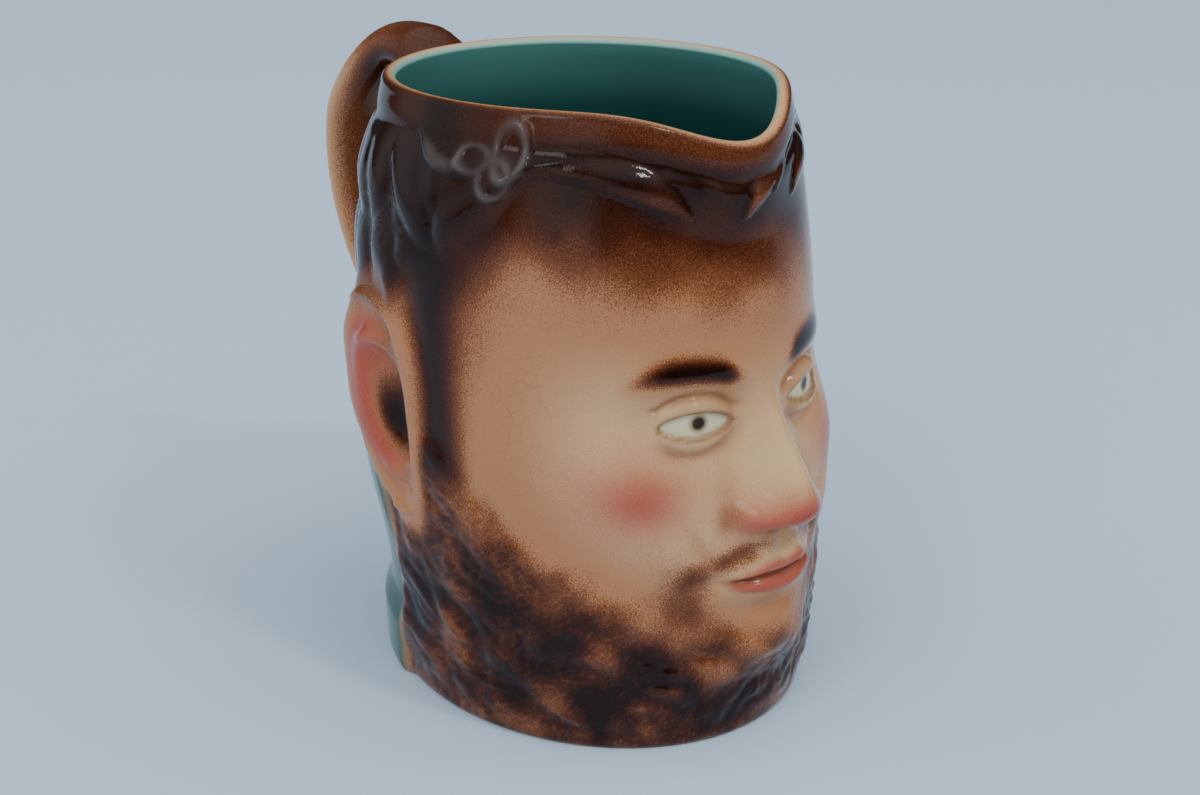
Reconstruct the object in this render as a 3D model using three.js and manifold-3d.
// A face jug of slip-cast, glazed earthenware: a bearded head whose open crown is the jug's mouth.
// The head looks along -Y, +X is its own left and +Z is up. The origin is the middle of the foot, on the table.
import * as THREE from "three";
import { mergeVertices } from "three/addons/utils/BufferGeometryUtils.js";
import Module from "manifold-3d";

// The pot, in millimetres. Widths run from ear to ear and depths from the face to the nape.
const HEIGHT = 185; // table to the rim, at the sides
const FOOT_WIDTH = 121;
const FOOT_DEPTH = 137;
const HEAD_WIDTH = 132;
const HEAD_DEPTH = 134;
const HEAD_SET_BACK = 4; // the middle of the head at ear level, behind the middle of the foot
const RIM_WIDTH = 114;
const RIM_DEPTH = 123;
const RIM_SET_BACK = 10;
const RIM_FALL = 4; // how much lower the rim is at the nape than it would be over the forehead
const WALL = 5;
const LIP = 4.5; // thickness of the rolled rim
const FLOOR = 6;
const FOOT_ROUND = 3; // height of the rounded edge above the table

// The pouring lip over the forehead.
const SPOUT_REACH = 6;
const SPOUT_DIP = 10; // how much lower the rim is there
const SPOUT_TURN = 0.45; // radians from its middle to where it fades

// The ears.
const EAR_HEIGHT = 70;
const EAR_WIDTH = 32; // along the side of the head
const EAR_STAND_OUT = 9;
const EAR_THICKNESS = 4;
const EAR_LEVEL = 95; // level of the ear's middle on the drawn head
const EAR_TURN = 1.86; // radians from the nose to the ear's middle
const EAR_LEAN = 0.2; // radians that the top leans back

// Relief of the hair, the beard and the coat's collar.
const HAIR_THICKNESS = 3.2;
const LOCK_DEPTH = 1.3;
const LOCK_WIDTH = 23;
const BEARD_THICKNESS = 1.8;
const CURL_DEPTH = 1.1;
const CURL = 15; // distance between the beard's curls
const COLLAR_TOP = 78; // level of the collar's upper edge
const COLLAR_TURN = 1.9; // radians from the nose to the collar's front edge
const COLLAR_FLARE = 5.5; // how far the upper edge stands off the neck
const COLLAR_ROLL = 3; // thickness of the roll along the table

// The handle behind the head.
const HANDLE_WIDTH = 24;
const HANDLE_THICKNESS = 15;
const HANDLE_REACH = 47; // from the back of the head to the middle of the grip
const HANDLE_BELOW_RIM = 11;
const HANDLE_ABOVE_COLLAR = 2;
const HANDLE_TOP = HEIGHT - HANDLE_BELOW_RIM; // level of the upper root
const HANDLE_BOTTOM = COLLAR_TOP + HANDLE_ABOVE_COLLAR; // level of the lower root
const HANDLE_FLARE = 1.25; // the roots against the grip

// The face is drawn on a head 185 mm high, unrolled at a radius of 64 mm, and grows with the jug.
const DRAWN_HEIGHT = 185;
const DRAWN_RADIUS = 64;
const DRAWN_SCALE = HEIGHT / DRAWN_HEIGHT;

// Levels of the drawn face: hairline to brow, brow to nose and nose to chin are each one third.
const THIRD = 43;
const CHIN_LEVEL = 26;
const NOSE_LEVEL = CHIN_LEVEL + THIRD;
const BROW_LEVEL = NOSE_LEVEL + THIRD;
const MOUTH_LEVEL = NOSE_LEVEL - THIRD / 3;
const EYE_LEVEL = BROW_LEVEL - THIRD / 4;
const EYE_WIDTH = 22; // a fifth of the face, with one more between the eyes
const EYE_PLACE = EYE_WIDTH;

// How finely the pot is divided, as [up to this angle or share of the height, steps].
const TURN_STEPS = [
  [0.84, 16], // nose to cheekbone
  [1.57, 8], // cheekbone to ear
  [Math.PI, 14], // ear to nape
];
const HEIGHT_STEPS = [
  [0.15, 5], // beard
  [0.66, 24], // face
  [1, 13], // forehead and hair
];
const INSIDE_STEPS = 4;
const BELOW_RIM = 0.93; // share of the height where the inside reaches its full wall
const EAR_SIDES = 16;
const HANDLE_SIDES = 12;
const HANDLE_STEPS = 17;

const clamp01 = (x) => Math.min(Math.max(x, 0), 1);
const mix = (a, b, t) => a + (b - a) * t;
const bell = (x, width) => Math.exp(-((x / width) ** 2));
const ramp = (x, from, to) => {
  const t = clamp01((x - from) / (to - from));
  return t * t * (3 - 2 * t);
};

// A smooth curve through [x, y, ...] knots, giving the values after x.
function through(knots, x) {
  const last = knots.length - 1;
  const at = Math.min(Math.max(x, knots[0][0]), knots[last][0]);
  let i = 0;
  while (i < last - 1 && at > knots[i + 1][0]) i++;
  const [a, b] = [knots[i], knots[i + 1]];
  const before = knots[Math.max(i - 1, 0)];
  const after = knots[Math.min(i + 2, last)];
  const span = b[0] - a[0];
  const t = (at - a[0]) / span;
  return a.slice(1).map((from, k) => {
    const to = b[k + 1];
    const leave = ((to - before[k + 1]) / (b[0] - before[0])) * span;
    const arrive = ((after[k + 1] - from) / (after[0] - a[0])) * span;
    return (
      from * (1 + 2 * t) * (1 - t) ** 2 +
      leave * t * (1 - t) ** 2 +
      to * t * t * (3 - 2 * t) +
      arrive * t * t * (t - 1)
    );
  });
}

// Oval pads of clay pressed on or in: [along, up, half width, half height, lift, tilt].
function pads(u, z, list) {
  return list.reduce((sum, [along, up, wide, tall, lift, tilt = 0]) => {
    const [c, s] = [Math.cos(tilt), Math.sin(tilt)];
    const p = ((u - along) * c + (z - up) * s) / wide;
    const q = ((z - up) * c - (u - along) * s) / tall;
    return sum + lift * Math.exp(-p * p - q * q);
  }, 0);
}

// The broad form of the face, alike on both sides. The inside of the pot follows it too.
const BROAD_FORM = [
  [0, BROW_LEVEL + 20, 42, 24, 3], // forehead
  [21, BROW_LEVEL + 2, 19, 6, 2.5], // brow ridge
  [EYE_PLACE, EYE_LEVEL - 1, 15, 11, -4.5], // eye sockets
  [58, BROW_LEVEL + 4, 12, 22, -1.5], // temples
  [40, NOSE_LEVEL + 15, 20, 16, 5], // cheekbones
  [30, NOSE_LEVEL - 2, 16, 16, 2.5], // lower cheeks
  [0, NOSE_LEVEL + 10, 13, 24, 6], // swelling under the nose
  [0, MOUTH_LEVEL + 1, 26, 17, 5.5], // muzzle
  [0, CHIN_LEVEL + 8, 17, 11, 6], // chin
  [52, MOUTH_LEVEL - 8, 18, 20, 1.5], // jaw
];

// The nose, from base to root: [level, height of the ridge, half width].
const NOSE = [
  [NOSE_LEVEL - 4, 0, 9],
  [NOSE_LEVEL, 3.5, 9.5],
  [NOSE_LEVEL + 3.5, 9.5, 9],
  [NOSE_LEVEL + 8, 12.5, 8.5],
  [NOSE_LEVEL + 13, 11.5, 7.5],
  [NOSE_LEVEL + 22, 8, 6.3],
  [NOSE_LEVEL + 31, 4.5, 5.6],
  [NOSE_LEVEL + 38, 1.8, 6],
  [NOSE_LEVEL + 45, 0, 7],
];
const NOSE_SQUARENESS = 2.4; // 2 is a round ridge
const NOSTRIL_WINGS = [[10.5, NOSE_LEVEL + 5.5, 4.6, 5, 5.5]];

function nose(u, z) {
  if (z < NOSE[0][0]) return 0;
  const [ridge, half] = through(NOSE, z);
  return ridge * Math.exp(-((u / half) ** NOSE_SQUARENESS)) + pads(u, z, NOSTRIL_WINGS);
}

// An eye: the ball, with a lid arching over it and a flatter one under it.
const EYEBALL = [[EYE_PLACE, EYE_LEVEL, 11, 7.5, 3.5]];
const UPPER_LID_RISE = 5;
const LOWER_LID_DROP = 3.8;
const LID_WIDTH = 2;
const UPPER_LID_LIFT = 1.6;
const LOWER_LID_LIFT = 1;

function eye(u, z) {
  const along = (u - EYE_PLACE) / (EYE_WIDTH / 2);
  const arch = Math.max(1 - along * along, 0);
  const ends = 1 - ramp(Math.abs(along), 0.9, 1.25);
  const upper = UPPER_LID_LIFT * bell(z - EYE_LEVEL - UPPER_LID_RISE * arch, LID_WIDTH);
  const lower = LOWER_LID_LIFT * bell(z - EYE_LEVEL + LOWER_LID_DROP * arch, LID_WIDTH);
  return pads(u, z, EYEBALL) + ends * (upper + lower);
}

// The mouth, closed and at rest.
const LIPS = [
  [6, MOUTH_LEVEL + 3.2, 8.5, 2.8, 2.4, -0.16], // upper lip
  [3, MOUTH_LEVEL - 4.2, 10, 3.8, 3.2], // lower lip
  [18, MOUTH_LEVEL, 3.4, 3.2, -1.4], // corners
  [0, MOUTH_LEVEL + 9.4, 2.6, 4.6, -0.9], // groove under the nose
  [0, MOUTH_LEVEL - 10.4, 13, 3.8, -2.2], // groove over the chin
];
const LIP_LINE_DEPTH = 2;
const LIP_LINE_WIDTH = 1.7;
const MOUTH_HALF_WIDTH = 17;

function mouth(u, z) {
  const ends = 1 - ramp(u, 0.75 * MOUTH_HALF_WIDTH, 1.15 * MOUTH_HALF_WIDTH);
  return pads(u, z, LIPS) - LIP_LINE_DEPTH * ends * bell(z - MOUTH_LEVEL, LIP_LINE_WIDTH);
}

// The hair's lower edge, from behind the right ear to behind the left: [along, level]. Locks hang in the middle.
const HAIRLINE = [
  [-126, COLLAR_TOP],
  [-116, 112],
  [-107, 136],
  [-88, 149],
  [-75, 159],
  [-66, 170],
  [-38, 171],
  [-29, 163],
  [-20, 155],
  [-11, 163],
  [-3, 156],
  [8, 165],
  [19, 157],
  [30, 167],
  [66, 170],
  [75, 159],
  [88, 149],
  [107, 136],
  [116, 112],
  [126, COLLAR_TOP],
];
const HAIR_EDGE = 2.5; // half the width of its rounded edge

function hair(u, z) {
  const [line] = through(HAIRLINE, u);
  const covered = ramp(z, line - HAIR_EDGE, line + HAIR_EDGE);
  const sway = (LOCK_WIDTH / 3) * Math.sin(z / (LOCK_WIDTH / 2) + u / (2 * LOCK_WIDTH));
  const lock = Math.cos(((u + sway) / LOCK_WIDTH) * 2 * Math.PI);
  return covered * (HAIR_THICKNESS + LOCK_DEPTH * lock);
}

// The beard's upper edge, from the chin to the ear, the same on both sides: [along, level].
const BEARD_LINE = [
  [0, 34],
  [16, 36],
  [30, 42],
  [46, 50],
  [62, 58],
  [80, 70],
  [94, 84],
  [104, 92],
];
const BEARD_EDGE = 5; // half the width of its soft edge

function beard(u, z) {
  const [line] = through(BEARD_LINE, Math.abs(u));
  const covered = 1 - ramp(z, line - BEARD_EDGE, line + BEARD_EDGE);
  const across = Math.sin(((u + 0.5 * z) / CURL) * Math.PI);
  const up = Math.sin(((z - 0.35 * u) / CURL) * Math.PI + 0.9 * across);
  return covered * (BEARD_THICKNESS + CURL_DEPTH * across * up);
}

// The coat's collar round the nape. It flares to its upper edge, with a roll along the table.
function collar(z) {
  const top = 1 - ramp(z, COLLAR_TOP - 1, COLLAR_TOP + 2);
  const flare = COLLAR_FLARE * ramp(z, 0.35 * COLLAR_TOP, COLLAR_TOP);
  const roll = COLLAR_ROLL * (1 - ramp(z, 0.22 * COLLAR_TOP, 0.34 * COLLAR_TOP));
  return top * (flare + roll);
}

// Plan of the bare head by share of the height: half width, half depth and set-back.
const PLAN = [
  [0, FOOT_WIDTH / 2, FOOT_DEPTH / 2, 0],
  [0.15, FOOT_WIDTH / 2 + 2, FOOT_DEPTH / 2 + 0.4, 0],
  [0.4, HEAD_WIDTH / 2 - 1, HEAD_DEPTH / 2 + 1, HEAD_SET_BACK / 2],
  [0.6, HEAD_WIDTH / 2, HEAD_DEPTH / 2, HEAD_SET_BACK],
  [0.8, HEAD_WIDTH / 2 - 1, HEAD_DEPTH / 2 - 2.5, (HEAD_SET_BACK + RIM_SET_BACK) / 2],
  [0.93, (HEAD_WIDTH + RIM_WIDTH) / 4, (HEAD_DEPTH + RIM_DEPTH) / 4 - 1, RIM_SET_BACK - 1],
  [1, RIM_WIDTH / 2, RIM_DEPTH / 2, RIM_SET_BACK],
];

// The rim's roll is round, so the wall itself ends half its thickness lower.
const WALL_TOP = HEIGHT - LIP / 2;

// A point of the wall. The turn is the angle from the nose and the share runs from the table to the rim.
function wallPoint(turn, share, inset, carved = false) {
  const [halfWidth, halfDepth, setBack] = through(PLAN, share);
  const fall = (RIM_FALL / 2) * Math.cos(turn) - SPOUT_DIP * bell(turn, SPOUT_TURN);
  const z = share * WALL_TOP + fall * ramp(share, 0.6, 1);
  const normal = new THREE.Vector2(Math.sin(turn) / halfWidth, -Math.cos(turn) / halfDepth);
  normal.normalize();

  const u = turn * DRAWN_RADIUS;
  const level = z / DRAWN_SCALE;
  let relief = pads(Math.abs(u), level, BROAD_FORM);
  if (carved) {
    const neck = ramp(Math.abs(turn), COLLAR_TURN - 0.03, COLLAR_TURN + 0.06);
    relief += nose(Math.abs(u), level) + eye(Math.abs(u), level) + mouth(Math.abs(u), level);
    relief += hair(u, level) * (1 - ramp(share, 0.9, 1)) + beard(u, level) * (1 - neck);
    relief += (collar(z) * neck) / DRAWN_SCALE;
  }
  let out = relief * DRAWN_SCALE - inset;
  out += SPOUT_REACH * bell(turn, SPOUT_TURN) * ramp(share, 0.84, 1);
  return new THREE.Vector3(
    halfWidth * Math.sin(turn) + normal.x * out,
    setBack - halfDepth * Math.cos(turn) + normal.y * out,
    z,
  );
}

// Even steps up to each end in turn.
function stepped(runs, from = 0) {
  const values = [from];
  for (const [to, steps] of runs) {
    const start = values[values.length - 1];
    for (let i = 1; i <= steps; i++) values.push(mix(start, to, i / steps));
  }
  return values;
}

// A closed skin over rings of points, with a single point at each end.
function skin(first, rings, last) {
  const count = rings[0].length;
  const points = [first, ...rings.flat(), last];
  const faces = [];
  const at = (ring, i) => 1 + ring * count + (i % count);
  for (let i = 0; i < count; i++) {
    faces.push(0, at(0, i + 1), at(0, i));
    for (let r = 0; r < rings.length - 1; r++) {
      faces.push(at(r, i), at(r, i + 1), at(r + 1, i + 1));
      faces.push(at(r, i), at(r + 1, i + 1), at(r + 1, i));
    }
    faces.push(at(rings.length - 1, i), at(rings.length - 1, i + 1), points.length - 1);
  }
  const geometry = new THREE.BufferGeometry().setFromPoints(points);
  geometry.setIndex(faces);
  return geometry;
}

// The pot itself: foot, carved outside, rolled rim, plain inside and floor.
function pot() {
  const oneSide = stepped(TURN_STEPS);
  const otherSide = oneSide.slice(1, -1).reverse().map((turn) => -turn);
  const turns = [...oneSide, ...otherSide];
  const flat = (inset, z, carved) =>
    turns.map((turn) => wallPoint(turn, 0, inset, carved).setZ(z));
  const level = (share, inset, carved) => turns.map((turn) => wallPoint(turn, share, inset, carved));

  const foot = flat(FOOT_ROUND / 2, 0, true);
  const outside = stepped(HEIGHT_STEPS, FOOT_ROUND / HEIGHT).map((share) => level(share, 0, true));
  const rimTop = level(1, LIP / 2).map((point) => point.setZ(point.z + LIP / 2));
  const rimInner = level(1, LIP);

  const insideShares = stepped([[(FLOOR + 2 * WALL) / HEIGHT, INSIDE_STEPS]], BELOW_RIM);
  const inside = insideShares.map((share) => level(share, WALL));
  const floorEdge = flat(3 * WALL, FLOOR);

  return skin(
    new THREE.Vector3(0, 0, 0),
    [foot, ...outside, rimTop, rimInner, ...inside, floorEdge],
    new THREE.Vector3(0, 0, FLOOR),
  );
}

// Rings of the ear from its hollow out to the edge, as [share of its outline, lift over a plain shell].
const EAR_FRONT = [
  [0.2, -0.8],
  [0.42, -0.6],
  [0.55, 0.08],
  [0.7, -0.14],
  [0.84, 0.02],
  [0.94, 0.28],
  [1, 0.1],
];
const EAR_ROOT = 0.72; // share of the outline that the ear grows from
const EAR_BLUNTNESS = 0.75; // 1 is an oval outline, and less is squarer
const EAR_LOBE = 0.6; // width of the lobe against the top
const EAR_HOLLOW_FORWARD = 0.3; // how far in front of the middle the hollow lies

// An ear that rises from the cheek towards its back edge. Its root is buried in the wall.
function ear(side) {
  const place = (share, angle, lift) => {
    const blunt = (x) => Math.sign(x) * Math.abs(x) ** EAR_BLUNTNESS;
    const up = share * blunt(Math.sin(angle));
    const wide = mix(EAR_LOBE, 1, ramp(up, -1, 0.5));
    const back = -share * blunt(Math.cos(angle)) * wide - EAR_HOLLOW_FORWARD * (1 - share);
    const a = (back * EAR_WIDTH) / 2;
    const b = (up * EAR_HEIGHT) / 2;
    const alongHead = a * Math.cos(EAR_LEAN) + b * Math.sin(EAR_LEAN);
    const upHead = b * Math.cos(EAR_LEAN) - a * Math.sin(EAR_LEAN);
    const turn = EAR_TURN + alongHead / (HEAD_WIDTH / 2);
    return wallPoint(side * turn, (EAR_LEVEL * DRAWN_SCALE + upHead) / HEIGHT, -lift(back, up));
  };
  const shell = (back, up) => EAR_STAND_OUT * mix(0.3, 1, ramp(back, -1, 0.9)) * ramp(up, -1.3, 0);
  const ringOf = (share, lift) => {
    const ring = [];
    for (let i = 0; i < EAR_SIDES; i++) {
      ring.push(place(share, (-side * i * 2 * Math.PI) / EAR_SIDES, lift));
    }
    return ring;
  };
  const buried = () => -WALL / 2;
  const front = EAR_FRONT.map(([share, lift]) =>
    ringOf(share, (back, up) => Math.max(shell(back, up) + lift * EAR_STAND_OUT, -WALL / 2)),
  );
  const edge = ringOf(1, (back, up) => Math.max(shell(back, up) - EAR_THICKNESS, -WALL / 2));
  return skin(place(0, 0, buried), [...front, edge, ringOf(EAR_ROOT, buried)].reverse(), place(0, 0, buried));
}

// The handle: an oval strap that springs from under the rim and comes back to the collar.
function handle() {
  const wallBack = (z) => wallPoint(Math.PI, z / HEIGHT, 0, false).y;
  const place = (reach, share) =>
    new THREE.Vector3(
      0,
      wallBack(HANDLE_TOP) + HANDLE_REACH * reach,
      mix(HANDLE_BOTTOM, HANDLE_TOP, share),
    );
  const root = (z) => new THREE.Vector3(0, wallBack(z) - WALL / 2, z);
  const path = new THREE.CatmullRomCurve3(
    [
      root(HANDLE_TOP),
      place(0.2, 1.05),
      place(0.48, 1.05),
      place(0.76, 0.95),
      place(0.95, 0.82),
      place(1, 0.68),
      place(0.94, 0.48),
      place(0.76, 0.28),
      place(0.5, 0.13),
      place(0.2, 0.02),
      root(HANDLE_BOTTOM),
    ],
    false,
    "centripetal",
  );
  const across = new THREE.Vector3(1, 0, 0);
  const rings = [];
  for (let i = 0; i <= HANDLE_STEPS; i++) {
    const share = i / HANDLE_STEPS;
    const outward = path.getTangentAt(share).cross(across).normalize();
    const flare = mix(HANDLE_FLARE, 1, ramp(Math.min(share, 1 - share), 0, 0.14));
    const ring = [];
    for (let k = 0; k < HANDLE_SIDES; k++) {
      const angle = (k / HANDLE_SIDES) * 2 * Math.PI;
      const point = path.getPointAt(share);
      point.addScaledVector(across, (flare * HANDLE_WIDTH * Math.cos(angle)) / 2);
      point.addScaledVector(outward, (flare * HANDLE_THICKNESS * Math.sin(angle)) / 2);
      ring.push(point);
    }
    rings.push(ring);
  }
  return skin(path.getPointAt(0), rings, path.getPointAt(1));
}

const wasm = await Module();
wasm.setup();

// A geometry as a solid that can be joined to another.
function solid(geometry) {
  const merged = mergeVertices(geometry);
  return new wasm.Manifold(
    new wasm.Mesh({
      numProp: 3,
      vertProperties: merged.attributes.position.array,
      triVerts: new Uint32Array(merged.index.array),
    }),
  );
}

function geometryOf(shape) {
  const mesh = shape.getMesh();
  const geometry = new THREE.BufferGeometry();
  geometry.setAttribute("position", new THREE.BufferAttribute(mesh.vertProperties, 3));
  geometry.setIndex(new THREE.BufferAttribute(mesh.triVerts, 1));
  geometry.computeVertexNormals();
  return geometry;
}

const brownGlaze = new THREE.MeshStandardMaterial({
  color: 0x6a4330,
  roughness: 0.15,
  metalness: 0,
});

const head = [ear(-1), ear(1), handle()].reduce((all, piece) => all.add(solid(piece)), solid(pot()));
const jug = new THREE.Mesh(geometryOf(head), brownGlaze);
jug.name = "face_jug";

const part = new THREE.Group();
part.add(jug);

export default part;
